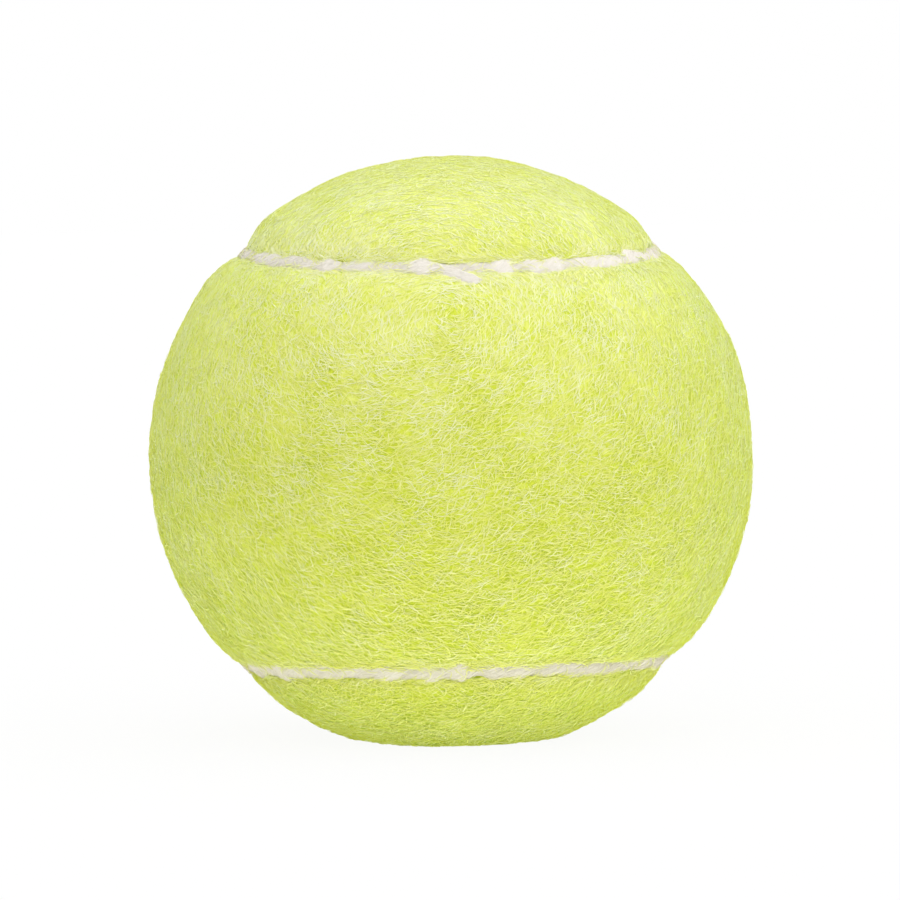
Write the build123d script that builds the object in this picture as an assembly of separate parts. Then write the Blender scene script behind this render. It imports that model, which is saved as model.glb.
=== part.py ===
from build123d import *
import math
import os

# A tennis ball: a hollow rubber core moulded as two halves, two figure-eight panels of needle felt
# glued over it, and a strand of white yarn bedded in the seam where the panels meet.
#
# Lengths are in millimetres and angles in degrees. The origin is the ball's centre, +Z is up and the
# front is -Y. The waist of the front panel crosses the front from side to side, and the waist of the
# rear panel crosses the back from top to bottom.

# Core
CORE_DIAMETER = 60.0
CORE_WALL = 3.3
BOND_THICKNESS = 0.3

# Layers glued over the core, from the inside out
CEMENT_THICKNESS = 0.2
BACKING_THICKNESS = 0.7
NAP_THICKNESS = 2.6

# Seam: the angle across a panel's waist, the yarn, and the cement bed that it lies on
WAIST_ANGLE = 84.0
YARN_DIAMETER = 1.5
YARN_CLEARANCE = 0.05
BED_THICKNESS = 0.9
BED_RISE_SHARE = 0.4

# The nap thins towards a panel's edge: how wide that slope is, the share of the nap left at the edge,
# and the share of the fall that is reached halfway along the slope
SLOPE_WIDTH = 4.2
EDGE_NAP_SHARE = 0.58
HALFWAY_FALL_SHARE = 0.36

# The yarn's two ends come together at the middle of the upper front seam, with a small gap left
JOIN_GAP = 0.3

# How far a cutter reaches past the ball
OVERRUN = 1.0

# Radii of the layers
core_radius = CORE_DIAMETER / 2
cavity_radius = core_radius - CORE_WALL
cement_radius = core_radius + CEMENT_THICKNESS
backing_radius = cement_radius + BACKING_THICKNESS
ball_radius = backing_radius + NAP_THICKNESS
cutter_radius = ball_radius + OVERRUN

# Radii in the seam
yarn_radius = YARN_DIAMETER / 2
channel_radius = yarn_radius + YARN_CLEARANCE
yarn_path_radius = cement_radius + BED_THICKNESS + channel_radius
bed_top = yarn_path_radius - channel_radius * (1 - BED_RISE_SHARE)
edge_radius = backing_radius + NAP_THICKNESS * EDGE_NAP_SHARE

# The seam is four equal runs, each an arc of a circle on the ball, which meet on the diagonals of the
# XZ plane. The upper front run goes round an axis that leans a little to the front, and half turns of
# the ball carry it to the other three.
diagonal_share = math.sqrt(0.5)
half_waist = math.radians(WAIST_ANGLE / 2)
lean = math.atan2(diagonal_share - math.sin(half_waist), math.cos(half_waist))
run_axis = Vector(0, -math.sin(lean), math.cos(lean))
run_front = Vector(0, -math.cos(lean), -math.sin(lean))
run_right = Vector(1, 0, 0)
run_spread = math.acos(diagonal_share * math.cos(lean))
run_half_angle = math.degrees(math.pi - math.acos(diagonal_share * math.sin(lean) / math.sin(run_spread)))
HALF_TURN = 180
half_turn_axes = [Axis((0, 0, 0), direction) for direction in ((0, 1, 0), (1, 0, 1), (-1, 0, 1))]

# The circle that the yarn's middle follows on a run, and half the angle of the gap in it
run_circle_radius = yarn_path_radius * math.sin(run_spread)
join_half_angle = math.degrees(JOIN_GAP / 2 / run_circle_radius)


def section_plane(angle):
    """The plane of a section across the seam, at an angle round the upper front run from its middle. Its
    X is across the seam, towards the front panel, and its Y is the height above the ball's centre."""
    outward = run_front * math.cos(math.radians(angle)) + run_right * math.sin(math.radians(angle))
    height = outward * math.sin(run_spread) + run_axis * math.cos(run_spread)
    across = outward * math.cos(run_spread) - run_axis * math.sin(run_spread)
    return Plane(origin=(0, 0, 0), x_dir=across, z_dir=across.cross(height))


def run_solid(section, start, end):
    """A section carried along the upper front run between two angles."""
    return revolve(section_plane(start) * section, Axis((0, 0, 0), run_axis), end - start)


def other_runs(section):
    """A section carried along the three other runs."""
    run = run_solid(section, -run_half_angle, run_half_angle)
    return [run.rotate(axis, HALF_TURN) for axis in half_turn_axes]


def whole_seam(section):
    """A section carried once round the ball."""
    return run_solid(section, -run_half_angle, run_half_angle) + other_runs(section)


def round_section(radius):
    """A round section at the yarn's place."""
    return Pos(0, yarn_path_radius) * Circle(radius)


def slot_section(bottom, top):
    """A straight-sided section between the panels' edges, from one height to another."""
    return Pos(0, (bottom + top) / 2) * Rectangle(2 * channel_radius, top - bottom)


def height_on_ball(across):
    """The height of the ball's surface at a distance across the seam."""
    return math.sqrt(ball_radius**2 - across**2)


def groove_section():
    """The space between the two panels: a slot, and above it the slopes where the nap thins."""
    middle = channel_radius + SLOPE_WIDTH / 2
    end = channel_radius + SLOPE_WIDTH
    fall = height_on_ball(channel_radius) - edge_radius
    lines = [
        Line((-channel_radius, core_radius), (channel_radius, core_radius)),
        Line((-end, cutter_radius), (end, cutter_radius)),
    ]
    for side in (-1, 1):
        edge_point = (side * channel_radius, edge_radius)
        middle_point = (side * middle, height_on_ball(middle) - fall * HALFWAY_FALL_SHARE)
        end_point = (side * end, height_on_ball(end))
        lines.append(Line((side * channel_radius, core_radius), edge_point))
        lines.append(ThreePointArc(edge_point, middle_point, end_point))
        lines.append(Line(end_point, (side * end, cutter_radius)))
    return make_face(lines)


def shell(outer, inner):
    """A hollow sphere."""
    return Sphere(outer) - Sphere(inner)


def between(shape, bottom, top):
    """The part of a shape between two heights along Z."""
    upper = split(shape, Plane.XY.offset(bottom), keep=Keep.TOP)
    return split(upper, Plane.XY.offset(top), keep=Keep.BOTTOM)


def core_pieces():
    """The two moulded halves of the core and the ring of cement that bonds them."""
    core = shell(core_radius, cavity_radius)
    bond_face = BOND_THICKNESS / 2
    return {
        "core_half_upper": between(core, bond_face, core_radius + OVERRUN),
        "core_half_lower": between(core, -core_radius - OVERRUN, -bond_face),
        "core_bond_ring": between(core, -bond_face, bond_face),
    }


def felt_pieces():
    """The felt's woven backing and raised nap, each cut along the seam into a front and a rear panel."""
    groove = whole_seam(groove_section())
    backing = shell(backing_radius, cement_radius) - groove
    nap = shell(ball_radius, backing_radius) - groove
    front_backing, rear_backing = backing.solids().sort_by(Axis.Y)
    front_nap, rear_nap = nap.solids().sort_by(Axis.Y)
    return {
        "front_panel_backing": front_backing,
        "front_panel_nap": front_nap,
        "rear_panel_backing": rear_backing,
        "rear_panel_nap": rear_nap,
    }


def seam_pieces():
    """The cement bed at the bottom of the seam and the strand of yarn that lies in it."""
    channel = whole_seam(round_section(channel_radius))
    bed = whole_seam(slot_section(core_radius, bed_top)) - Sphere(cement_radius) - channel
    section = round_section(yarn_radius)
    head = run_solid(section, join_half_angle, run_half_angle)
    tail = run_solid(section, -run_half_angle, -join_half_angle)
    yarn = head + other_runs(section) + tail
    return {"seam_bed": bed, "seam_yarn": yarn}


pieces = {
    **core_pieces(),
    "felt_cement": shell(cement_radius, core_radius),
    **felt_pieces(),
    **seam_pieces(),
}

os.makedirs("parts", exist_ok=True)
for name, shape in pieces.items():
    export_step(shape, f"parts/{name}.step")

run_length = 2 * math.radians(run_half_angle) * run_circle_radius
seam_length = run_length * (1 + len(half_turn_axes))
print(f"ball diameter {2 * ball_radius:.2f}, length of the seam {seam_length:.1f}")
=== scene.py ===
# A tennis ball: two figure-eight panels of raised felt with loose fibres, and a soft yarn in the seam.
#
# Lengths are in metres and angles in degrees. The frame is the ball's own: the origin is its centre, +Z is
# up and the front is -Y.

import math

import bpy
import numpy as np
from mathutils import Matrix, Vector


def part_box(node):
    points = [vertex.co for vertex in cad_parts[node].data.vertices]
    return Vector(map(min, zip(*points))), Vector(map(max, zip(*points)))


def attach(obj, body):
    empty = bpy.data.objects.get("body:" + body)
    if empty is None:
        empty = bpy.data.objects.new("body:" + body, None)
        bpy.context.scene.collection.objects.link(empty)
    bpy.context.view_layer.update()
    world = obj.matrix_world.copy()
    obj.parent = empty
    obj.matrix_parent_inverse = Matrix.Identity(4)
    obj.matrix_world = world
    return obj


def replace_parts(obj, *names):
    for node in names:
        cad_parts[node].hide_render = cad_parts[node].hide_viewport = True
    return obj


SEED = 7
BODY = "root"

# Seam: the angle across a panel's waist, half the width of the slot between the panels' edges, and the slope
# beside it: its width, how far the felt falls to its edge, and the share of that fall halfway along
WAIST_ANGLE = 84.0
SLOT_HALF_WIDTH = 0.0008
SLOPE_WIDTH = 0.006
EDGE_FALL = 0.0009
HALFWAY_FALL_SHARE = 0.18

# Towards the bottom the groove is shallower, the yarn lies higher and wider, the fringe beside it stands back
# and the felt is fuller
LOW_FALL_SHARE = 0.7
LOW_YARN_RISE = 0.00032
LOW_YARN_WIDTH_SHARE = 1.7
LOW_FRINGE_SHIFT = 0.0004
LOW_FULLNESS = 0.0001

# Felt: the room that loose fibres take on top of its ground, and the waves that make the ground uneven
FIBRE_ROOM = 0.0004
SWELL_HEIGHT = 0.00007
SWELL_LENGTH = 0.011
TUFT_HEIGHT = 0.00003
TUFT_LENGTH = 0.0026

# Waves: how many make a set, and how far their numbers spread where they run over the ball
WAVE_COUNT = 36
WAVE_NUMBER_SHARES = (0.6, 1.4)

# Where the ball stands it is pressed flat, and a thin layer of fibres lies between its ground and the floor
PRESSED_DEPTH = 0.0024
PRESSED_FIBRES = 0.00012

# Panel: the sides and the area of the flat felt that it is cut from, and the grid of its mesh
PANEL_COLUMNS = 430
PANEL_ROWS = 129
INNER_ROWS = 21
WALL_DEPTH_SHARES = (0.25, 0.5, 0.75)
LAST_COLUMN_SHARE = 0.995
BISECTIONS = 40

# Fibres of the felt: their number, their form, how they spread, bend and rise, how far they overhang the
# panel's edge, and how closely their tints gather. Towards the top they lie flatter
FIBRE_COUNT = 160000
FIBRES_PER_PIECE = 16000
FIBRE_NODES = 4
FIBRE_SIDES = 3
FIBRE_RADIUS = 0.000037
FIBRE_RADIUS_SHARES = (0.65, 1.35)
FIBRE_LENGTHS = (0.0007, 0.0023)
FIBRE_SPREAD_ANGLE = 27
FIBRE_BEND_ANGLE = 12
FIBRE_BEND_CHANGE = 8
FIBRE_LEVEL = 0.00009
FIBRE_LEVEL_LIMIT = 0.00025
FIBRE_ARCHES = (-0.00005, 0.00012)
TOP_RISE_SHARE = 0.35
STRAY_SHARE = 0.02
STRAY_LIFTS = (0.00005, 0.0002)
OVERHANGS = (-0.0001, 0.0003)
START_SPREAD_SHARE = 0.5
TINT_GATHERING = 2

# Beside the seam the fibres turn along it. More of them fray over the yarn's edges, and a few cross it
SEAM_TURN_LENGTH = 0.0006
SEAM_TURN_SHARE = 0.8
FRINGE_COUNT = 12000
FRINGE_OFFSETS = (-0.00030, 0.00045)
FRINGE_WAVE = 0.00013
FRINGE_WAVE_LENGTHS = (0.0015, 0.008)
BRIDGE_SHARE = 0.1

# Flow of the fibres over the ball: in rings round a point of the front, with some wander
FLOW_AZIMUTH = -5
FLOW_ELEVATION = 31
FLOW_WANDER_SHARE = 0.2
FLOW_WANDER_LENGTH = 0.03

# Yarn: a flattened strand, which plies, bulges, lumps and a slight wander make uneven
YARN_RADIUS = 0.00075
YARN_RISE = 0.0009
YARN_WIDTH_SHARE = 1.3
YARN_HEIGHT_SHARE = 0.5
YARN_RINGS = 1300
YARN_SIDES = 28
YARN_PLIES = 3
YARN_PLY_SHARE = 0.015
YARN_TWIST_LENGTH = 0.011
YARN_BULGE_SHARE = 0.17
YARN_BULGE_LENGTHS = (0.0028, 0.007)
YARN_LUMP_SHARE = 0.035
YARN_LUMP_LENGTHS = (0.0006, 0.0014)
YARN_WANDER = 0.00014
YARN_WANDER_LENGTHS = (0.004, 0.02)

# Ends of the yarn, which overlap on the upper front seam: the head starts slim, and the tail leaves the seam
# and lies loose on the front panel
HEAD_OVERLAP = 0.0026
HEAD_TAPER = 0.0036
HEAD_START_SHARE = 0.35
HEAD_SHIFT = 0.00035
TAIL_OVERLAP = 0.0005
TAIL_LENGTH = 0.0048
TAIL_SHIFT = 0.0021
TAIL_WIDTH_SHARE = 0.75
TAIL_RISE = 0.0006
TAIL_TIP = 0.0012
TAIL_FRAY = 0.0005

# Fibres of the yarn, which wind round its upper side
YARN_FIBRE_COUNT = 14000
YARN_FIBRES_PER_PIECE = 7000
YARN_FIBRE_NODES = 6
YARN_FIBRE_RADIUS = 0.00003
YARN_FIBRE_LENGTHS = (0.0016, 0.0045)
YARN_FIBRE_LIFTS = (-0.00002, 0.0001)
YARN_STRAY_SHARE = 0.12
YARN_STRAY_LIFTS = (0.00005, 0.00025)
YARN_FIBRE_ARC = 220
YARN_SLANT_SPREAD_SHARE = 0.35

# Maps: the share of its map that a tube's wall takes, the places and the size of the tube's two ends in the
# strip that is left, and the share of its cell that a strand fills
TUBE_WALL_SHARE = 0.96
CAP_PLACE_SHARES = (0.25, 0.75)
CAP_RADIUS_SHARE = 1 / 3
STRAND_CELL_SHARE = 0.8

# Finishes: the lengths of their patches and ridges, and the depths of their relief
FELT_MAT_LENGTH = 0.0005
FELT_MOTTLE_LENGTH = 0.006
FELT_GRAIN_LENGTH = 0.00025
FELT_GRAIN_DEPTH = 0.00012
FIBRE_MOTTLE_LENGTH = 0.004
YARN_STREAK_LENGTH = 0.0004
YARN_GRAIN_LENGTH = 0.0002
YARN_GRAIN_DEPTH = 0.00008
YARN_MOTTLE_LENGTH = 0.002
BLOOM_LENGTH = 0.004
RUBBER_GRAIN_LENGTH = 0.0004
RUBBER_GRAIN_DEPTH = 0.00003
CEMENT_PATCH_LENGTH = 0.003
BRUSH_MARK_SPACING = 0.0012
BRUSH_MARK_DEPTH = 0.00004
THREAD_SPACING = 0.0006
THREAD_DEPTH = 0.0001

# Finishes: how fine the noise is, how wavy the ridges are, and a ridge's radians in one unit at scale 1
NOISE_DETAIL = 3.0
FELT_GRAIN_DETAIL = 5.0
BLOOM_DETAIL = 6.0
RIDGE_DISTORTION = 0.6
RIDGE_RADIANS = 20

# Finishes: how much a pattern, or the height on the ball, moves a place on its scale of colours. The height's
# weights are painted light and shade: the felt and its fibres paler higher up, the yarn greyer lower down
FELT_MOTTLE_WEIGHT = 0.8
FELT_PAINTED_LIGHT_WEIGHT = 0.6
FIBRE_MOTTLE_WEIGHT = 0.9
FIBRE_PAINTED_LIGHT_WEIGHT = 0.5
YARN_MOTTLE_WEIGHT = 0.4
# The yarn's height weight is painted shade lower down, along with some wear
YARN_SHADE_AND_WEAR_WEIGHT = 0.8
BRUSH_MARK_WEIGHT = 0.3
THREAD_WEIGHT = 0.8

# Finishes: shine, sheen and roughness
PLAIN_SPECULAR = 0.2
FELT_SPECULAR = 0.6
FIBRE_SPECULAR = 0.7
FIBRE_REFRACTION = 1.6
FELT_SHEEN = 0.42
FELT_SHEEN_COLOUR = (0.66, 1.0, 0.6, 1)
YARN_SHEEN = 0.15
BACKING_SHEEN = 0.1
FIBRE_ROUGHNESS = 0.5
YARN_FIBRE_ROUGHNESS = 0.7
CLOTH_ROUGHNESS = (0.8, 1.0)
RUBBER_ROUGHNESS = (0.5, 0.8)
CEMENT_ROUGHNESS = (0.35, 0.6)

# Colours: stops on a scale from 0 to 1
# The felt's ground is darker and deeper in colour than its fibres: painted shade of the deep felt under them
FELT_COLOURS = (
    (0.1, (0.50, 0.60, 0.02)),
    (0.5, (0.71, 0.79, 0.045)),
    (0.9, (0.89, 0.93, 0.25)),
)
FIBRE_COLOURS = (
    (0.0, (0.84, 0.875, 0.08)),
    (0.5, (0.92, 0.935, 0.27)),
    (1.0, (0.955, 0.965, 0.64)),
)
# The yarn's body is a little darker than its fibres: painted shade in the gaps between them
YARN_COLOURS = ((0.1, (0.75, 0.71, 0.60)), (0.8, (0.94, 0.90, 0.83)))
YARN_FIBRE_COLOURS = ((0.1, (0.82, 0.78, 0.66)), (0.9, (0.965, 0.925, 0.86)))
RUBBER_COLOURS = ((0.35, (0.013, 0.013, 0.015)), (0.75, (0.035, 0.035, 0.04)))
CORE_CEMENT_COLOURS = ((0.3, (0.30, 0.20, 0.08)), (0.7, (0.42, 0.32, 0.14)))
SEAM_CEMENT_COLOURS = ((0.3, (0.60, 0.57, 0.47)), (0.7, (0.74, 0.72, 0.64)))
BACKING_COLOURS = ((0.2, (0.36, 0.42, 0.06)), (0.8, (0.56, 0.62, 0.14)))
WHITE = (1, 1, 1, 1)

# Camera: its distance in radii of the ball, its angles, the widths of the ball's outline and of the picture
# in pixels, and an aim that is a little off the ball's centre
CAMERA_DISTANCE_SHARE = 20
CAMERA_AZIMUTH = -6.2
CAMERA_ELEVATION = 3.7
CAMERA_ROLL = -0.7
OUTLINE_PIXELS = 606
PICTURE_PIXELS = 900
AIM_RISE = 0.0005
AIM_RIGHT = -0.00018
SENSOR_WIDTH = 0.036
MILLIMETRES = 1000

# Light: even light from all round, a key light from above, a weaker one from the front, and a round one on
# the white floor
FILL_STRENGTH = 0.32
KEY_STRENGTH = 2.5
KEY_SOFTNESS = 120
KEY_DIRECTION = (0.16, -0.25, 1.0)
FRONT_STRENGTH = 0.18
FRONT_SOFTNESS = 90
FRONT_DIRECTION = (0.05, -1.0, 0.45)
TABLE_STRENGTH = 0.016
TABLE_SIZE = 0.12
TABLE_HEIGHT = 0.00005
FLOOR_SIZE = 4.0
FLOOR_COLOUR = (0.93, 0.93, 0.93, 1)
FLOOR_WHITENING_SHARE = 0.93

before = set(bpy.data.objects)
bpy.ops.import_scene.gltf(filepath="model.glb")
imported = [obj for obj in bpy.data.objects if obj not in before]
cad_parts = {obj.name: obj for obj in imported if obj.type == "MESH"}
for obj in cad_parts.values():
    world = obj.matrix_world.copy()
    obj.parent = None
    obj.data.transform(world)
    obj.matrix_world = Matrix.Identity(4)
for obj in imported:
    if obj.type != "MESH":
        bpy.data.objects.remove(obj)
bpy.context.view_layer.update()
random = np.random.default_rng(SEED)

# Radii of the layers, and the level of the floor
ball_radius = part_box("front_panel_nap")[1].x
backing_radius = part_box("front_panel_backing")[1].x
yarn_path_radius = backing_radius + YARN_RISE
floor_level = PRESSED_DEPTH - ball_radius

# The seam's four equal runs go round axes that lean a little. Half turns carry the first run to the rest, and
# every other run is then followed the other way
diagonal_share = math.sqrt(0.5)
half_waist = math.radians(WAIST_ANGLE / 2)
lean = math.atan2(diagonal_share - math.sin(half_waist), math.cos(half_waist))
run_axis = np.array((0, -math.sin(lean), math.cos(lean)))
run_front = np.array((0, -math.cos(lean), -math.sin(lean)))
run_right = np.array((1, 0, 0))
run_spread = math.acos(diagonal_share * math.cos(lean))
run_half_angle = math.pi - math.acos(diagonal_share * math.sin(lean) / math.sin(run_spread))
run_turns = np.array((
    ((1, 0, 0), (0, 1, 0), (0, 0, 1)),
    ((0, 0, 1), (0, -1, 0), (1, 0, 0)),
    ((-1, 0, 0), (0, 1, 0), (0, 0, -1)),
    ((0, 0, -1), (0, -1, 0), (-1, 0, 0)),
))
run_ways = np.array((1, -1, 1, -1))
seam_length = len(run_turns) * 2 * run_half_angle * math.sin(run_spread) * yarn_path_radius

# The half turn that carries the front panel to the rear one
rear_turn = run_turns[1]


# Vectors and waves

def unit(vectors):
    """Vectors made 1 long."""
    return vectors / np.linalg.norm(vectors, axis=-1, keepdims=True)


def dot(one, other):
    """The scalar products of vectors, kept as columns."""
    return np.sum(one * other, axis=-1, keepdims=True)


def ease(share):
    """Rises smoothly from 0 to 1."""
    share = np.clip(share, 0, 1)
    return share * share * (3 - 2 * share)


def surface_waves(length):
    """A set of waves of about one length, in every direction."""
    directions = unit(random.normal(size=(WAVE_COUNT, 3)))
    numbers = math.tau / length * random.uniform(*WAVE_NUMBER_SHARES, (WAVE_COUNT, 1))
    return directions * numbers, random.uniform(0, math.tau, WAVE_COUNT)


def seam_waves(lengths):
    """A set of waves along the seam, each a whole number of times round it."""
    numbers = np.round(seam_length / random.uniform(*lengths, (WAVE_COUNT, 1)))
    return math.tau * numbers, random.uniform(0, math.tau, WAVE_COUNT)


def wave_sum(places, waves):
    """The sum of a set of waves at some places, with a spread of 1."""
    numbers, phases = waves
    return np.sin(places @ numbers.T + phases).sum(axis=-1) * math.sqrt(2 / WAVE_COUNT)


swell_waves = surface_waves(SWELL_LENGTH)
tuft_waves = surface_waves(TUFT_LENGTH)
flow_waves = [surface_waves(FLOW_WANDER_LENGTH) for _ in range(3)]
bulge_waves = seam_waves(YARN_BULGE_LENGTHS)
lump_waves = seam_waves(YARN_LUMP_LENGTHS)
wander_waves = seam_waves(YARN_WANDER_LENGTHS)
fringe_waves = seam_waves(FRINGE_WAVE_LENGTHS)


# The seam

def nearest_axis(directions):
    """The axis of the run that is nearest to each direction, and 1 on the rear half, -1 on the front."""
    x, y, z = np.moveaxis(directions, -1, 0)
    zero = np.zeros_like(x)
    front = np.stack((zero, zero - math.sin(lean), np.copysign(math.cos(lean), z)), axis=-1)
    rear = np.stack((np.copysign(math.cos(lean), x), zero + math.sin(lean), zero), axis=-1)
    side = np.where(y < 0, -1, 1)[..., None]
    return np.where(side < 0, front, rear), side


def seam_gap(directions):
    """The distance over the ball from the seam, positive on the front panel."""
    axis, side = nearest_axis(directions)
    angle = np.arccos(np.clip(dot(axis, directions), -1, 1))
    return (side * (run_spread - angle))[..., 0] * ball_radius


def along_seam(directions):
    """The direction over the ball that the seam nearby has."""
    axis, _ = nearest_axis(directions)
    return unit(np.cross(directions, axis))


def seam_frame(shares):
    """Directions of points on the seam, at shares of its length from the middle of the upper front run, and
    the directions across it, towards the front panel."""
    turns = np.mod(shares, 1) * len(run_turns) + 0.5
    run = np.floor(turns).astype(int) % len(run_turns)
    way = run_ways[run]
    angle = ((turns % 1 * 2 - 1) * run_half_angle * way)[..., None]
    outward = run_front * np.cos(angle) + run_right * np.sin(angle)
    point = run_axis * math.cos(run_spread) + outward * math.sin(run_spread)
    across = (outward * math.cos(run_spread) - run_axis * math.sin(run_spread)) * way[..., None]
    turn = run_turns[run]
    return np.einsum("...ij,...j->...i", turn, point), np.einsum("...ij,...j->...i", turn, across)


# Meshes

def mesh_object(name, points, faces, corner_places, smooth=True):
    """An object of flat arrays: its points, its faces as lists of corners, one for each number of sides, and
    the place of each corner on the map, in the same order."""
    corners = np.concatenate([face.ravel() for face in faces])
    sizes = np.concatenate([np.full(len(face), face.shape[1]) for face in faces])
    mesh = bpy.data.meshes.new(name)
    mesh.vertices.add(len(points))
    mesh.vertices.foreach_set("co", points.astype(np.float32).ravel())
    mesh.loops.add(len(corners))
    mesh.loops.foreach_set("vertex_index", corners.astype(np.int32))
    mesh.polygons.add(len(sizes))
    mesh.polygons.foreach_set("loop_start", (np.cumsum(sizes) - sizes).astype(np.int32))
    mesh.polygons.foreach_set("use_smooth", np.full(len(sizes), smooth))
    layer = mesh.uv_layers.new(name="OFBake")
    layer.data.foreach_set("uv", corner_places.astype(np.float32).ravel())
    mesh.update(calc_edges=True)
    mesh.validate()
    made = bpy.data.objects.new(name, mesh)
    bpy.context.scene.collection.objects.link(made)
    return made


def closed_tube(name, rings):
    """A tube through rings of points, closed at both ends. On its map the wall is a grid, and the ends are
    two circles in the strip beside it."""
    count, sides = rings.shape[:2]
    ring, side = np.meshgrid(np.arange(count - 1), np.arange(sides), indexing="ij")
    ring_steps = np.array((0, 0, 1, 1))
    side_steps = np.array((0, 1, 1, 0))
    ring = ring[..., None] + ring_steps
    side = side[..., None] + side_steps
    quads = (ring * sides + side % sides).reshape(-1, 4)
    quad_places = np.stack((ring / (count - 1) * TUBE_WALL_SHARE, side / sides), axis=-1)
    caps = np.stack((np.arange(sides)[::-1], (count - 1) * sides + np.arange(sides)))
    turn = np.arange(sides) / sides * math.tau
    strip = 1 - TUBE_WALL_SHARE
    circle = np.stack((np.cos(turn), np.sin(turn)), axis=-1) * strip * CAP_RADIUS_SHARE
    cap_middles = np.array([(1 - strip / 2, share) for share in CAP_PLACE_SHARES])
    cap_places = cap_middles[:, None] + circle
    places = np.concatenate((quad_places.reshape(-1, 2), cap_places.reshape(-1, 2)))
    return mesh_object(name, rings.reshape(-1, 3), [quads, caps], places)


def strand_corners(rings):
    """The corners of one strand, a tube that is pointed at both ends, and their places on its map."""
    last = 1 + rings * FIBRE_SIDES
    tips = []
    walls = []
    tip_places = []
    wall_places = []
    for side in range(FIBRE_SIDES):
        after = (side + 1) % FIBRE_SIDES
        tips.append((0, 1 + after, 1 + side))
        tip_places.append(((0, side + 0.5), (1, side + 1), (1, side)))
        tips.append((last, last - FIBRE_SIDES + side, last - FIBRE_SIDES + after))
        tip_places.append(((rings + 1, side + 0.5), (rings, side), (rings, side + 1)))
        for ring in range(rings - 1):
            here = 1 + ring * FIBRE_SIDES
            ahead = here + FIBRE_SIDES
            walls.append((here + side, here + after, ahead + after, ahead + side))
            spot = ring + 1
            wall_places.append(((spot, side), (spot, side + 1), (spot + 1, side + 1), (spot + 1, side)))
    scale = np.array((rings + 1, FIBRE_SIDES))
    return np.array(tips), np.array(walls), np.array(tip_places) / scale, np.array(wall_places) / scale


def strand_points(nodes, radii):
    """The points of strands round their nodes: a tip, the rings between, and the other tip."""
    outward = unit(nodes)
    ahead = unit(np.gradient(nodes, axis=1))
    side = unit(np.cross(ahead, outward))
    up = np.cross(side, ahead)
    turn = math.tau * np.arange(FIBRE_SIDES) / FIBRE_SIDES - math.pi / 2
    taper = np.sqrt(np.sin(np.linspace(0, math.pi, nodes.shape[1])[1:-1]))
    ring_radii = radii[:, None] * taper
    sideways = side[:, 1:-1, None] * np.cos(turn)[:, None]
    upward = up[:, 1:-1, None] * np.sin(turn)[:, None]
    spokes = sideways + upward
    rings = nodes[:, 1:-1, None] + spokes * ring_radii[..., None, None]
    rings = rings.reshape(len(nodes), -1, 3)
    return np.concatenate((nodes[:, :1], rings, nodes[:, -1:]), axis=1)


def strands(name, nodes, radii, tints):
    """An object of many strands. Each has its own tint and its own cell on the map."""
    points = strand_points(nodes, radii)
    count, each = points.shape[:2]
    tips, walls, tip_places, wall_places = strand_corners(nodes.shape[1] - 2)
    first = np.arange(count)[:, None, None] * each
    cells = math.ceil(math.sqrt(count))
    corner = np.stack(np.divmod(np.arange(count), cells), axis=-1)[:, None, None]
    tip_map = (corner + tip_places * STRAND_CELL_SHARE) / cells
    wall_map = (corner + wall_places * STRAND_CELL_SHARE) / cells
    places = np.concatenate((tip_map.reshape(-1, 2), wall_map.reshape(-1, 2)))
    faces = [(first + tips).reshape(-1, 3), (first + walls).reshape(-1, 4)]
    made = mesh_object(name, points.reshape(-1, 3), faces, places, smooth=False)
    layer = made.data.attributes.new("tint", "FLOAT", "POINT")
    layer.data.foreach_set("value", np.repeat(tints, each).astype(np.float32))
    return made


# Materials

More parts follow.
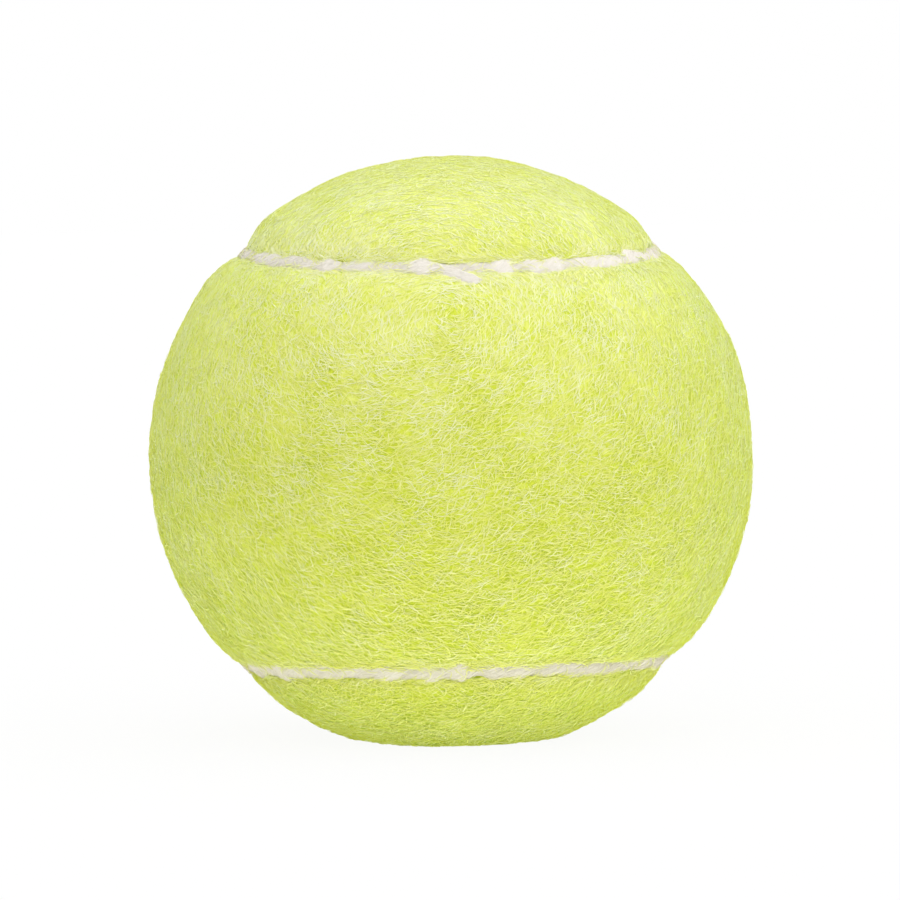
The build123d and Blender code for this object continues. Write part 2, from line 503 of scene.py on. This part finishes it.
class Finish:
    """A material under way: its nodes, its links and its surface shader."""

    def __init__(self, name, specular=PLAIN_SPECULAR, sheen=0, sheen_colour=WHITE):
        self.material = bpy.data.materials.new(name)
        self.material.use_nodes = True
        self.nodes = self.material.node_tree.nodes
        self.links = self.material.node_tree.links
        self.shader = self.nodes["Principled BSDF"]
        self.shader.inputs["Specular IOR Level"].default_value = specular
        self.shader.inputs["Sheen Weight"].default_value = sheen
        self.shader.inputs["Sheen Tint"].default_value = sheen_colour
        self.places = self.nodes.new("ShaderNodeTexCoord").outputs["Object"]

    def noise(self, length, detail=NOISE_DETAIL):
        """Noise whose patches are about this long."""
        node = self.nodes.new("ShaderNodeTexNoise")
        node.inputs["Scale"].default_value = 1 / length
        node.inputs["Detail"].default_value = detail
        self.links.new(self.places, node.inputs["Vector"])
        return node.outputs["Fac"]

    def ridges(self, spacing, direction):
        """Parallel ridges this far apart."""
        node = self.nodes.new("ShaderNodeTexWave")
        node.bands_direction = direction
        node.inputs["Scale"].default_value = math.tau / RIDGE_RADIANS / spacing
        node.inputs["Distortion"].default_value = RIDGE_DISTORTION
        self.links.new(self.places, node.inputs["Vector"])
        return node.outputs["Fac"]

    def height(self):
        """Rises from 0 at the ball's bottom to 1 at its top."""
        parts = self.nodes.new("ShaderNodeSeparateXYZ")
        self.links.new(self.places, parts.inputs[0])
        node = self.nodes.new("ShaderNodeMapRange")
        node.inputs["From Min"].default_value = -ball_radius
        node.inputs["From Max"].default_value = ball_radius
        self.links.new(parts.outputs["Z"], node.inputs["Value"])
        return node.outputs["Result"]

    def tint(self):
        """Each strand's own tint, from 0 to 1."""
        node = self.nodes.new("ShaderNodeAttribute")
        node.attribute_name = "tint"
        return node.outputs["Fac"]

    def sum(self, one, other, weight):
        """One value plus a weighted other value, which is about 0.5 on average."""
        scaled = self.nodes.new("ShaderNodeMath")
        scaled.operation = "MULTIPLY_ADD"
        self.links.new(other, scaled.inputs[0])
        scaled.inputs[1].default_value = weight
        scaled.inputs[2].default_value = -weight / 2
        added = self.nodes.new("ShaderNodeMath")
        added.operation = "ADD"
        added.use_clamp = True
        self.links.new(one, added.inputs[0])
        self.links.new(scaled.outputs[0], added.inputs[1])
        return added.outputs[0]

    def colours(self, value, stops):
        """The base colour, from stops of a value and a colour."""
        ramp = self.nodes.new("ShaderNodeValToRGB")
        elements = ramp.color_ramp.elements
        for index, (position, colour) in enumerate(stops):
            element = elements[index] if index < len(elements) else elements.new(position)
            element.position = position
            element.color = (*colour, 1)
        self.links.new(value, ramp.inputs["Fac"])
        self.links.new(ramp.outputs["Color"], self.shader.inputs["Base Color"])

    def roughness(self, value, limits):
        """A roughness that follows a value between two limits."""
        node = self.nodes.new("ShaderNodeMapRange")
        for socket, limit in zip(("To Min", "To Max"), limits):
            node.inputs[socket].default_value = limit
        self.links.new(value, node.inputs["Value"])
        self.links.new(node.outputs["Result"], self.shader.inputs["Roughness"])

    def bump(self, value, depth):
        """A fine relief that follows a value."""
        node = self.nodes.new("ShaderNodeBump")
        node.inputs["Distance"].default_value = depth
        self.links.new(value, node.inputs["Height"])
        self.links.new(node.outputs["Normal"], self.shader.inputs["Normal"])


def felt_ground():
    """The felt under its loose fibres: a dense mat, darker between tufts as painted shade of the deep felt,
    and paler higher up as painted light from above.
    """
    finish = Finish("felt_ground", FELT_SPECULAR, FELT_SHEEN, FELT_SHEEN_COLOUR)
    mat = finish.noise(FELT_MAT_LENGTH)
    mottle = finish.sum(mat, finish.noise(FELT_MOTTLE_LENGTH), FELT_MOTTLE_WEIGHT)
    # Painted light: the felt grows paler higher up, standing in for the light from above
    painted_top_light = finish.sum(mottle, finish.height(), FELT_PAINTED_LIGHT_WEIGHT)
    finish.colours(painted_top_light, FELT_COLOURS)
    finish.roughness(mat, CLOTH_ROUGHNESS)
    finish.bump(finish.noise(FELT_GRAIN_LENGTH, FELT_GRAIN_DETAIL), FELT_GRAIN_DEPTH)
    return finish.material


def felt_fibre():
    """The felt's loose fibres: from chartreuse to pale lemon, paler in patches, and paler higher up as
    painted light from above.
    """
    finish = Finish("felt_fibre", FIBRE_SPECULAR, FELT_SHEEN, FELT_SHEEN_COLOUR)
    finish.shader.inputs["Roughness"].default_value = FIBRE_ROUGHNESS
    finish.shader.inputs["IOR"].default_value = FIBRE_REFRACTION
    mottle = finish.sum(finish.tint(), finish.noise(FIBRE_MOTTLE_LENGTH), FIBRE_MOTTLE_WEIGHT)
    # Painted light: the fibres grow paler higher up, standing in for the light from above
    painted_top_light = finish.sum(mottle, finish.height(), FIBRE_PAINTED_LIGHT_WEIGHT)
    finish.colours(painted_top_light, FIBRE_COLOURS)
    return finish.material


def yarn_ground():
    """The yarn: soft off-white spinning, greyer lower down, partly wear and partly painted shade."""
    finish = Finish("yarn_ground", sheen=YARN_SHEEN)
    streaks = finish.noise(YARN_STREAK_LENGTH)
    # Painted shade and wear: the yarn is greyer lower down, partly because the light comes from above
    painted_shade_and_wear = finish.sum(streaks, finish.height(), YARN_SHADE_AND_WEAR_WEIGHT)
    finish.colours(painted_shade_and_wear, YARN_COLOURS)
    finish.roughness(streaks, CLOTH_ROUGHNESS)
    finish.bump(finish.noise(YARN_GRAIN_LENGTH), YARN_GRAIN_DEPTH)
    return finish.material


def yarn_fibre():
    """The yarn's fibres, from grey cream at the bottom to white at the top: partly wear, partly painted
    shade.
    """
    finish = Finish("yarn_fibre", sheen=YARN_SHEEN)
    finish.shader.inputs["Roughness"].default_value = YARN_FIBRE_ROUGHNESS
    mottle = finish.sum(finish.tint(), finish.noise(YARN_MOTTLE_LENGTH), YARN_MOTTLE_WEIGHT)
    # Painted shade and wear: the fibres are greyer lower down, partly because the light comes from above
    painted_shade_and_wear = finish.sum(mottle, finish.height(), YARN_SHADE_AND_WEAR_WEIGHT)
    finish.colours(painted_shade_and_wear, YARN_FIBRE_COLOURS)
    return finish.material


def rubber():
    """Moulded rubber: nearly black, with a dusty bloom."""
    finish = Finish("core_rubber")
    bloom = finish.noise(BLOOM_LENGTH, BLOOM_DETAIL)
    finish.colours(bloom, RUBBER_COLOURS)
    finish.roughness(bloom, RUBBER_ROUGHNESS)
    finish.bump(finish.noise(RUBBER_GRAIN_LENGTH), RUBBER_GRAIN_DEPTH)
    return finish.material


def cement(name, colours):
    """Dried cement, with brush marks."""
    finish = Finish(name)
    patches = finish.noise(CEMENT_PATCH_LENGTH)
    marks = finish.sum(patches, finish.ridges(BRUSH_MARK_SPACING, "X"), BRUSH_MARK_WEIGHT)
    finish.colours(marks, colours)
    finish.roughness(marks, CEMENT_ROUGHNESS)
    finish.bump(marks, BRUSH_MARK_DEPTH)
    return finish.material


def backing_weave():
    """The felt's woven backing: crossing ridges of thread."""
    finish = Finish("felt_backing", sheen=BACKING_SHEEN)
    warp, weft = (finish.ridges(THREAD_SPACING, direction) for direction in ("X", "Z"))
    weave = finish.sum(warp, weft, THREAD_WEIGHT)
    finish.colours(weave, BACKING_COLOURS)
    finish.roughness(weave, CLOTH_ROUGHNESS)
    finish.bump(weave, THREAD_DEPTH)
    return finish.material


def dress(node, material):
    """Gives a node of the frame its material."""
    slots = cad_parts[node].data.materials
    slots.clear()
    slots.append(material)


def place(piece, material):
    """Puts a piece on the ball, in its material."""
    piece.data.materials.append(material)
    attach(piece, BODY)


# The felt

def lowness(directions):
    """Rises from 0 at the ball's top to 1 at its bottom."""
    return ease((1 - directions[..., 2]) / 2)


def edge_fall(directions):
    """How far the felt falls to its edge."""
    return EDGE_FALL * (1 - (1 - LOW_FALL_SHARE) * lowness(directions))


def yarn_width_share(directions):
    """The yarn's width there, as a share of its thickness when round."""
    return YARN_WIDTH_SHARE + (LOW_YARN_WIDTH_SHARE - YARN_WIDTH_SHARE) * lowness(directions)


def yarn_level(directions):
    """The radius of the yarn's middle, which follows the felt's edge."""
    return yarn_path_radius + EDGE_FALL - edge_fall(directions) + LOW_YARN_RISE * lowness(directions)


def ground_radius(directions):
    """The radius of the felt's ground, which thins towards the seam and is a little uneven."""
    gap = np.abs(seam_gap(directions)) - SLOT_HALF_WIDTH
    power = math.log(HALFWAY_FALL_SHARE) / math.log(0.5)
    fall = edge_fall(directions) * (1 - np.clip(gap / SLOPE_WIDTH, 0, 1)) ** power
    places = directions * ball_radius
    uneven = SWELL_HEIGHT * wave_sum(places, swell_waves) + TUFT_HEIGHT * wave_sum(places, tuft_waves)
    fullness = LOW_FULLNESS * (2 * lowness(directions) - 1)
    return ball_radius - FIBRE_ROOM - fall + uneven + fullness


def pressed(points, room):
    """Points kept above the floor by some room."""
    low = np.array((-np.inf, -np.inf, floor_level + room))
    return np.maximum(points, low)


def crossing(value, inside, outside):
    """Where a value that is positive inside falls to zero on the way outside."""
    for _ in range(BISECTIONS):
        middle = (inside + outside) / 2
        positive = value(middle) > 0
        inside = np.where(positive, middle, inside)
        outside = np.where(positive, outside, middle)
    return inside


def panel_direction(azimuth, latitude):
    """A direction by its azimuth from the front and its latitude."""
    return np.stack((
        np.sin(azimuth) * np.cos(latitude),
        -np.cos(azimuth) * np.cos(latitude),
        np.sin(latitude) + 0 * azimuth,
    ), axis=-1)


def panel_margin(azimuth, latitude):
    """How far inside the front panel's edge a direction lies."""
    return seam_gap(panel_direction(azimuth, latitude)) - SLOT_HALF_WIDTH


def panel_points():
    """The front panel's rings of points: over its outside, down one edge, back inside and up the other."""
    quarter = np.full(1, math.pi / 2)
    end = crossing(lambda azimuth: panel_margin(azimuth, 0 * azimuth), quarter, 2 * quarter)
    azimuth = end * np.sin(math.pi / 2 * LAST_COLUMN_SHARE * np.linspace(-1, 1, PANEL_COLUMNS))
    zero = np.zeros(PANEL_COLUMNS)
    edge = crossing(lambda latitude: panel_margin(azimuth, latitude), zero, zero + math.pi / 2)
    wall = np.array(WALL_DEPTH_SHARES)
    across = np.concatenate((
        np.linspace(-1, 1, PANEL_ROWS),
        np.ones(len(wall)),
        np.linspace(1, -1, INNER_ROWS),
        -np.ones(len(wall)),
    ))
    depth = np.concatenate((np.zeros(PANEL_ROWS), wall, np.ones(INNER_ROWS), wall[::-1]))
    return panel_direction(azimuth[:, None], edge[:, None] * across), depth


def felt_panel(name, node, turn, material):
    """A panel's felt, from its backing to the ground of its fibres."""
    directions, depth = panel_points()
    directions = directions @ turn.T
    radius = ground_radius(directions) * (1 - depth) + backing_radius * depth
    points = pressed(directions * radius[..., None], PRESSED_FIBRES)
    panel = closed_tube(name, points)
    place(panel, material)
    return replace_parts(panel, node)


# The felt's fibres

def fibre_flow(directions):
    """The way that the fibres lie, over the ball."""
    middle = panel_direction(math.radians(FLOW_AZIMUTH), math.radians(FLOW_ELEVATION))
    places = directions * ball_radius
    wander = np.stack([wave_sum(places, waves) for waves in flow_waves], axis=-1)
    return unit(np.cross(middle, directions)) + FLOW_WANDER_SHARE * wander


def fibre_heading(directions):
    """The heading of each fibre at its start: with the flow or along the seam, give or take."""
    flow = fibre_flow(directions)
    flow = unit(flow - directions * dot(flow, directions))
    along = along_seam(directions)
    along = along * np.sign(dot(along, flow))
    distance = np.abs(seam_gap(directions)) - SLOT_HALF_WIDTH
    turned = SEAM_TURN_SHARE * np.exp(-np.maximum(distance, 0) / SEAM_TURN_LENGTH)[:, None]
    heading = unit(flow * (1 - turned) + along * turned)
    turn = np.radians(random.normal(0, FIBRE_SPREAD_ANGLE, (len(directions), 1)))
    return heading * np.cos(turn) + np.cross(directions, heading) * np.sin(turn)


def fibre_walk(start):
    """The directions of the fibres' nodes, as they wander over the ball from their starts. Most of those that
    would cross the seam go the other way."""
    count = len(start)
    step = random.uniform(*FIBRE_LENGTHS, (count, 1)) / ball_radius / (FIBRE_NODES - 1)
    bend = np.radians(random.normal(0, FIBRE_BEND_ANGLE, (count, 1)))
    heading = fibre_heading(start)
    end = unit(start + heading * step * (FIBRE_NODES - 1))
    room = seam_gap(end) * np.sign(seam_gap(start))
    crosses = room < SLOT_HALF_WIDTH - random.uniform(*OVERHANGS, count)
    returns = crosses & (random.uniform(size=count) > BRIDGE_SHARE)
    heading = heading * np.where(returns, -1, 1)[:, None]
    walk = [start]
    for _ in range(FIBRE_NODES - 1):
        here = walk[-1]
        heading = heading * np.cos(bend) + np.cross(here, heading) * np.sin(bend)
        bend = bend + np.radians(random.normal(0, FIBRE_BEND_CHANGE, (count, 1)))
        ahead = unit(here + heading * step)
        heading = unit(heading - ahead * dot(heading, ahead))
        walk.append(ahead)
    return np.stack(walk, axis=1)


def fibre_rise(count):
    """The height of the fibres' nodes above the felt's ground."""
    along = np.linspace(0, 1, FIBRE_NODES)
    level = np.minimum(random.exponential(FIBRE_LEVEL, (count, 1)), FIBRE_LEVEL_LIMIT)
    arch = random.uniform(*FIBRE_ARCHES, (count, 1)) * np.sin(math.pi * along)
    stray = random.uniform(size=(count, 1)) < STRAY_SHARE
    lift = stray * random.uniform(*STRAY_LIFTS, (count, 1)) * along**2
    return level + arch + lift


def fibre_starts():
    """Directions spread evenly over the felt, on a spiral from the top to the bottom, each moved a little."""
    golden_angle = math.pi * (3 - math.sqrt(5))
    index = np.arange(FIBRE_COUNT) + 0.5
    height = 1 - 2 * index / FIBRE_COUNT
    turn = index * golden_angle
    width = np.sqrt(1 - height**2)
    spiral = np.stack((width * np.cos(turn), width * np.sin(turn), height), axis=-1)
    spacing = math.sqrt(4 * math.pi / FIBRE_COUNT)
    starts = unit(spiral + random.normal(0, START_SPREAD_SHARE * spacing, spiral.shape))
    return starts[np.abs(seam_gap(starts)) > SLOT_HALF_WIDTH]


def fringe_starts():
    """Directions along the panels' uneven edges."""
    shares = random.uniform(size=FRINGE_COUNT)
    side = random.choice((-1, 1), FRINGE_COUNT)
    wave = FRINGE_WAVE * wave_sum(shares[:, None], fringe_waves)
    offset = SLOT_HALF_WIDTH + random.uniform(*FRINGE_OFFSETS, FRINGE_COUNT) + side * wave
    outward, across = seam_frame(shares)
    offset = offset + LOW_FRINGE_SHIFT * lowness(outward)
    return unit(outward * ball_radius + across * (side * offset)[:, None])


def felt_fibres():
    """Nodes of the felt's fibres, and which of them are the front panel's."""
    walk = fibre_walk(np.concatenate((fibre_starts(), fringe_starts())))
    gap = seam_gap(walk)
    ground = ground_radius(walk)
    across = np.clip(gap / (YARN_RADIUS * yarn_width_share(walk)), -1, 1)
    yarn_top = yarn_level(walk) + YARN_RADIUS * YARN_HEIGHT_SHARE * np.sqrt(1 - across**2)
    ground = np.where(np.abs(across) < 1, np.maximum(ground, yarn_top), ground)
    flatness = 1 - (1 - TOP_RISE_SHARE) * (1 - lowness(walk)) ** 2
    nodes = walk * (ground + flatness * fibre_rise(len(walk)))[..., None]
    return pressed(nodes, FIBRE_RADIUS), gap[:, 0] > 0


def strand_pieces(name, nodes, most, radius, material):
    """Strands of one kind, in pieces of a handy size."""
    made = []
    for index, part in enumerate(np.array_split(nodes, math.ceil(len(nodes) / most))):
        radii = radius * random.uniform(*FIBRE_RADIUS_SHARES, len(part))
        tints = random.beta(TINT_GATHERING, TINT_GATHERING, len(part))
        piece = strands(f"{name}_{index + 1}", part, radii, tints)
        place(piece, material)
        made.append(piece)
    return made


def panel_fibres(name, nodes, material):
    """A panel's fibres."""
    return strand_pieces(name, nodes, FIBRES_PER_PIECE, FIBRE_RADIUS, material)


# The yarn

yarn_start = -HEAD_OVERLAP / seam_length
yarn_end = 1 + TAIL_OVERLAP / seam_length


def yarn_points(shares, angles, lifts):
    """Points on the yarn: at shares of the seam's length, at angles round it from the front panel's side,
    and lifted off its surface."""
    from_head = (shares - yarn_start) * seam_length
    from_tail = (yarn_end - shares) * seam_length
    head = ease(1 - from_head / HEAD_TAPER)
    tail = ease(1 - from_tail / TAIL_LENGTH)
    tip = np.sqrt(1 - np.clip(1 - from_tail / TAIL_TIP, 0, 1) ** 2)
    column = shares[..., None]
    bulge = YARN_BULGE_SHARE * wave_sum(column, bulge_waves)
    lump = YARN_LUMP_SHARE * wave_sum(column, lump_waves)
    twist = math.tau * shares * seam_length / YARN_TWIST_LENGTH
    ply = YARN_PLY_SHARE * np.cos(YARN_PLIES * (angles - twist))
    slimness = (1 - (1 - HEAD_START_SHARE) * head) * (1 - (1 - TAIL_WIDTH_SHARE) * tail)
    thickness = (1 + bulge + lump + ply) * slimness * tip
    radius = (YARN_RADIUS * thickness + lifts)[..., None]
    outward, across = seam_frame(shares)
    shift = YARN_WANDER * wave_sum(column, wander_waves) + TAIL_SHIFT * tail - HEAD_SHIFT * head
    level = yarn_level(outward) + TAIL_RISE * tail
    middle = outward * level[..., None] + across * shift[..., None]
    sideways = across * (yarn_width_share(outward) * np.cos(angles))[..., None]
    upward = outward * YARN_HEIGHT_SHARE * np.sin(angles)[..., None]
    return middle + (sideways + upward) * radius


def yarn_tube(material):
    """The yarn's strand, from its head to its tail."""
    shares = np.linspace(yarn_start, yarn_end, YARN_RINGS)[:, None]
    angles = np.arange(YARN_SIDES) / YARN_SIDES * math.tau
    shares, angles = np.broadcast_arrays(shares, angles)
    points = pressed(yarn_points(shares, angles, 0 * shares), PRESSED_FIBRES)
    tube = closed_tube("yarn", points)
    place(tube, material)
    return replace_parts(tube, "seam_yarn")


def yarn_fibres(material):
    """The yarn's fibres, which wind round it with its twist."""
    count = YARN_FIBRE_COUNT
    along = np.linspace(0, 1, YARN_FIBRE_NODES)
    lengths = random.uniform(*YARN_FIBRE_LENGTHS, (count, 1))
    last = yarn_end + (TAIL_FRAY - lengths) / seam_length
    first = yarn_start + (last - yarn_start) * random.uniform(size=(count, 1))
    shares = first + lengths * along / seam_length
    half_arc = math.radians(YARN_FIBRE_ARC / 2)
    start = math.pi / 2 + random.uniform(-half_arc, half_arc, (count, 1))
    slant = random.normal(1, YARN_SLANT_SPREAD_SHARE, (count, 1))
    angles = start + slant * math.tau * lengths * (along - 0.5) / YARN_TWIST_LENGTH
    stray = random.uniform(size=(count, 1)) < YARN_STRAY_SHARE
    lifts = random.uniform(*YARN_FIBRE_LIFTS, (count, 1))
    lifts = lifts + stray * random.uniform(*YARN_STRAY_LIFTS, (count, 1)) * along**2
    nodes = pressed(yarn_points(shares, angles, lifts), YARN_FIBRE_RADIUS)
    strand_pieces("yarn_fibres", nodes, YARN_FIBRES_PER_PIECE, YARN_FIBRE_RADIUS, material)


# Stage

def white_to_camera(tree):
    """A value that is 1 for what the camera sees, also in gloss and through glass."""
    paths = tree.nodes.new("ShaderNodeLightPath")
    value = paths.outputs["Is Camera Ray"]
    for name in ("Is Glossy Ray", "Is Transmission Ray"):
        either = tree.nodes.new("ShaderNodeMath")
        either.operation = "MAXIMUM"
        tree.links.new(value, either.inputs[0])
        tree.links.new(paths.outputs[name], either.inputs[1])
        value = either.outputs[0]
    return value


def surroundings():
    """Even light from all round, seen as white."""
    world = bpy.data.worlds.new("surroundings")
    bpy.context.scene.world = world
    world.use_nodes = True
    tree = world.node_tree
    light = tree.nodes["Background"]
    light.inputs["Color"].default_value = WHITE
    light.inputs["Strength"].default_value = FILL_STRENGTH
    white = tree.nodes.new("ShaderNodeBackground")
    white.inputs["Color"].default_value = WHITE
    mix = tree.nodes.new("ShaderNodeMixShader")
    tree.links.new(white_to_camera(tree), mix.inputs[0])
    tree.links.new(light.outputs[0], mix.inputs[1])
    tree.links.new(white.outputs[0], mix.inputs[2])
    tree.links.new(mix.outputs[0], tree.nodes["World Output"].inputs["Surface"])


def floor():
    """A white floor, which shows the ball's shadow lightly."""
    half = FLOOR_SIZE / 2
    corners = [(x * half, y * half, floor_level) for x, y in ((-1, -1), (1, -1), (1, 1), (-1, 1))]
    mesh = bpy.data.meshes.new("floor")
    mesh.from_pydata(corners, [], [(0, 1, 2, 3)])
    sheet = bpy.data.objects.new("floor", mesh)
    bpy.context.scene.collection.objects.link(sheet)
    material = bpy.data.materials.new("floor")
    material.use_nodes = True
    mesh.materials.append(material)
    tree = material.node_tree
    shader = tree.nodes["Principled BSDF"]
    shader.inputs["Base Color"].default_value = FLOOR_COLOUR
    shader.inputs["Roughness"].default_value = 1
    shader.inputs["Specular IOR Level"].default_value = 0
    white = tree.nodes.new("ShaderNodeEmission")
    share = tree.nodes.new("ShaderNodeMath")
    share.operation = "MULTIPLY"
    tree.links.new(white_to_camera(tree), share.inputs[0])
    share.inputs[1].default_value = FLOOR_WHITENING_SHARE
    mix = tree.nodes.new("ShaderNodeMixShader")
    tree.links.new(share.outputs[0], mix.inputs[0])
    tree.links.new(shader.outputs[0], mix.inputs[1])
    tree.links.new(white.outputs[0], mix.inputs[2])
    tree.links.new(mix.outputs[0], tree.nodes["Material Output"].inputs["Surface"])


def soft_light(name, strength, softness, direction):
    """A broad soft light that comes from a direction."""
    data = bpy.data.lights.new(name, "SUN")
    data.energy = strength
    data.angle = math.radians(softness)
    lamp = bpy.data.objects.new(name, data)
    bpy.context.scene.collection.objects.link(lamp)
    lamp.rotation_mode = "QUATERNION"
    lamp.rotation_quaternion = Vector(direction).to_track_quat("Z", "Y")


def light_table():
    """A round light that lies on the floor and shines up at the ball's underside."""
    data = bpy.data.lights.new("table", "AREA")
    data.shape = "DISK"
    data.size = TABLE_SIZE
    data.energy = TABLE_STRENGTH
    lamp = bpy.data.objects.new("table", data)
    bpy.context.scene.collection.objects.link(lamp)
    lamp.visible_camera = False
    lamp.location.z = floor_level + TABLE_HEIGHT
    lamp.rotation_euler.x = math.pi


def camera():
    """The camera, which looks at the ball from a little above and from the left."""
    azimuth = math.radians(CAMERA_AZIMUTH)
    elevation = math.radians(CAMERA_ELEVATION)
    back = Vector((
        math.sin(azimuth) * math.cos(elevation),
        -math.cos(azimuth) * math.cos(elevation),
        math.sin(elevation),
    ))
    right = Vector((math.cos(azimuth), math.sin(azimuth), 0))
    data = bpy.data.cameras.new("camera")
    data.sensor_width = SENSOR_WIDTH * MILLIMETRES
    outline_share = OUTLINE_PIXELS / PICTURE_PIXELS
    focal = outline_share / 2 * SENSOR_WIDTH * math.sqrt(CAMERA_DISTANCE_SHARE**2 - 1)
    data.lens = focal * MILLIMETRES
    eye = bpy.data.objects.new("camera", data)
    bpy.context.scene.collection.objects.link(eye)
    aim = right * AIM_RIGHT + back.cross(right) * AIM_RISE
    turn = (-back).to_track_quat("-Z", "Y").to_matrix()
    roll = Matrix.Rotation(math.radians(CAMERA_ROLL), 3, back)
    eye.rotation_mode = "QUATERNION"
    eye.rotation_quaternion = (roll @ turn).to_quaternion()
    eye.location = aim + back * CAMERA_DISTANCE_SHARE * ball_radius
    bpy.context.scene.camera = eye


# The ball

ground_material = felt_ground()
fibre_material = felt_fibre()
yarn_material = yarn_ground()
front_felt = felt_panel("front_felt", "front_panel_nap", np.eye(3), ground_material)
rear_felt = felt_panel("rear_felt", "rear_panel_nap", rear_turn, ground_material)
fibre_nodes, on_front = felt_fibres()
front_fibres = panel_fibres("front_fibres", fibre_nodes[on_front], fibre_material)
rear_fibres = panel_fibres("rear_fibres", fibre_nodes[~on_front], fibre_material)
yarn_tube(yarn_material)
yarn_fibres(yarn_fibre())

rubber_material = rubber()
core_cement = cement("core_cement", CORE_CEMENT_COLOURS)
weave_material = backing_weave()
for half in ("upper", "lower"):
    dress(f"core_half_{half}", rubber_material)
for node in ("core_bond_ring", "felt_cement"):
    dress(node, core_cement)
for side in ("front", "rear"):
    dress(f"{side}_panel_backing", weave_material)
    dress(f"{side}_panel_nap", ground_material)
dress("seam_bed", cement("seam_cement", SEAM_CEMENT_COLOURS))
dress("seam_yarn", yarn_material)

surroundings()
floor()
soft_light("key", KEY_STRENGTH, KEY_SOFTNESS, KEY_DIRECTION)
soft_light("front", FRONT_STRENGTH, FRONT_SOFTNESS, FRONT_DIRECTION)
light_table()
camera()
bpy.context.scene.view_settings.view_transform = "Standard"
